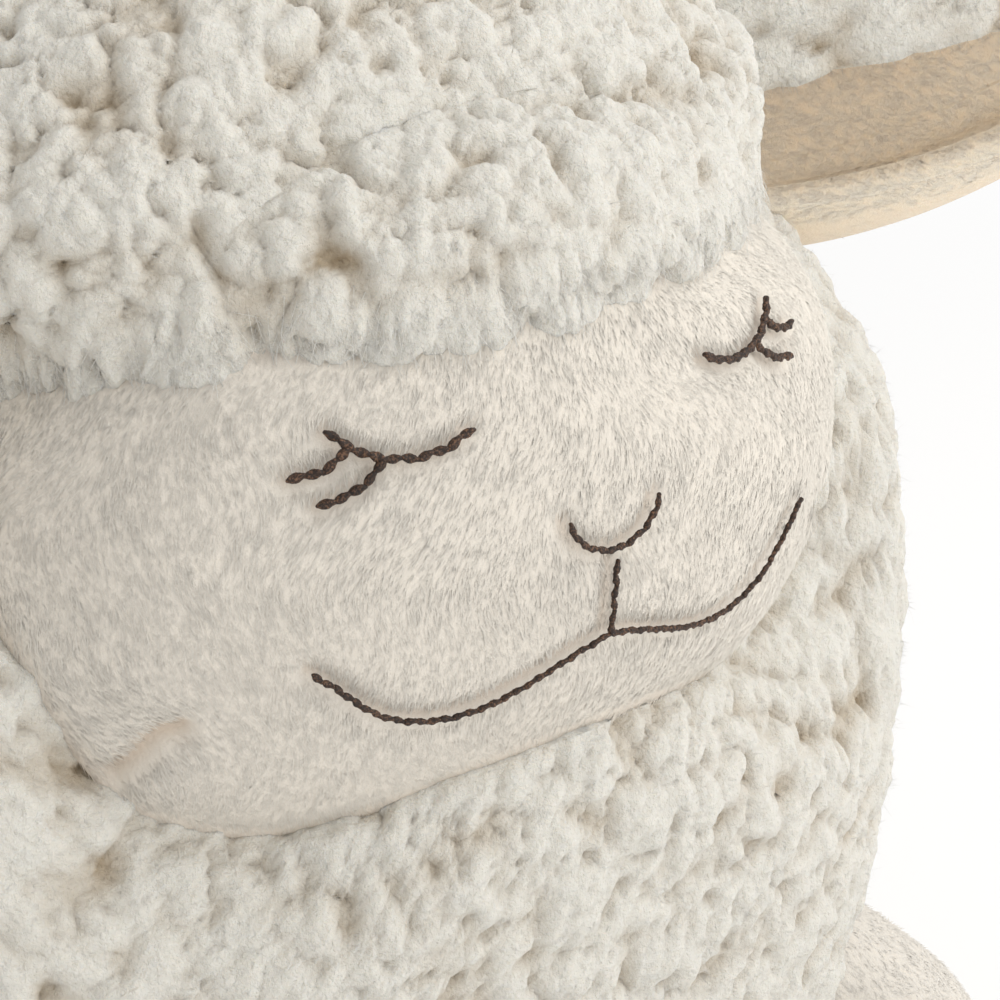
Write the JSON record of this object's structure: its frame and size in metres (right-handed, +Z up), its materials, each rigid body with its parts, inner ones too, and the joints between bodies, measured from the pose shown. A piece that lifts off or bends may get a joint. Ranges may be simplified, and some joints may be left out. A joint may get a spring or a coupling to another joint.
{
  "type": "plush sheep",
  "caption": "Seated stuffed sheep of fleece and short-pile panels, with folded ears, stuffed arms, legs and tail, and a stitched sleeping face.",
  "frame": {"origin": "middle of the flat base, on the surface that the sheep sits on", "axes": "+Z up, the face looks along -Y, +X is the sheep's own left side and the mirror axis"},
  "size_m": [0.3814, 0.293, 0.3259],
  "materials": {
    "fleece": "curly fleece with 8 to 12 mm clumps",
    "minky": "short combed pile, about 3 mm",
    "limb_minky": "short combed pile, about 3 mm",
    "ear_lining": "short smooth pile",
    "stuffing": "loose polyester fibre",
    "thread": "twisted embroidery thread"
  },
  "bodies": {
    "body": {"crown_panel": "fleece", "face_panel": "minky", "body_front_panel": "fleece", "body_back_left_panel": "fleece", "body_back_right_panel": "fleece", "base_panel": "fleece", "body_stuffing": "stuffing", "eye_left_stitching": "thread", "eye_right_stitching": "thread", "nose_stitching": "thread", "mouth_stitching": "thread"},
    "ear_left": {"ear_left_outer": "fleece", "ear_left_lining": "ear_lining"},
    "ear_right": {"ear_right_outer": "fleece", "ear_right_lining": "ear_lining"},
    "arm_left": {"arm_left_cover": "limb_minky", "arm_left_stuffing": "stuffing"},
    "arm_right": {"arm_right_cover": "limb_minky", "arm_right_stuffing": "stuffing"},
    "leg_left": {"leg_left_cover": "limb_minky", "leg_left_sole": "limb_minky", "leg_left_stuffing": "stuffing"},
    "leg_right": {"leg_right_cover": "limb_minky", "leg_right_sole": "limb_minky", "leg_right_stuffing": "stuffing"},
    "tail": {"tail_cover": "fleece", "tail_stuffing": "stuffing"}
  },
  "joints": [
    {"name": "ear_left_flap", "type": "hinge", "parent": "body", "child": "ear_left", "pos_m": [0.09856, 0, 0.2619], "axis": [-0.457, 0, 0.8895], "range_deg": [-18, 18], "stiffness_Nm_per_rad": 0.03},
    {"name": "ear_right_flap", "type": "hinge", "parent": "body", "child": "ear_right", "pos_m": [-0.09856, 0, 0.2619], "axis": [0.457, 0, 0.8895], "range_deg": [-18, 18], "stiffness_Nm_per_rad": 0.03},
    {"name": "arm_left_swing", "type": "hinge", "parent": "body", "child": "arm_left", "pos_m": [0.10414, 0, 0.07694], "axis": [0.3404, 0, 0.9403], "range_deg": [-10, 30], "stiffness_Nm_per_rad": 0.06},
    {"name": "arm_right_swing", "type": "hinge", "parent": "body", "child": "arm_right", "pos_m": [-0.10414, 0, 0.07694], "axis": [-0.3404, 0, 0.9403], "range_deg": [-30, 10], "stiffness_Nm_per_rad": 0.06},
    {"name": "leg_left_lift", "type": "hinge", "parent": "body", "child": "leg_left", "pos_m": [0.03846, -0.03587, 0.00642], "axis": [-1, 0, 0], "range_deg": [0, 18], "stiffness_Nm_per_rad": 0.08},
    {"name": "leg_right_lift", "type": "hinge", "parent": "body", "child": "leg_right", "pos_m": [-0.03846, -0.03587, 0.00642], "axis": [-1, 0, 0], "range_deg": [0, 18], "stiffness_Nm_per_rad": 0.08},
    {"name": "tail_wag", "type": "hinge", "parent": "body", "child": "tail", "pos_m": [0, 0.08181, 0.06416], "axis": [0, 0.3367, 0.9416], "range_deg": [-18, 18], "stiffness_Nm_per_rad": 0.03}
  ]
}
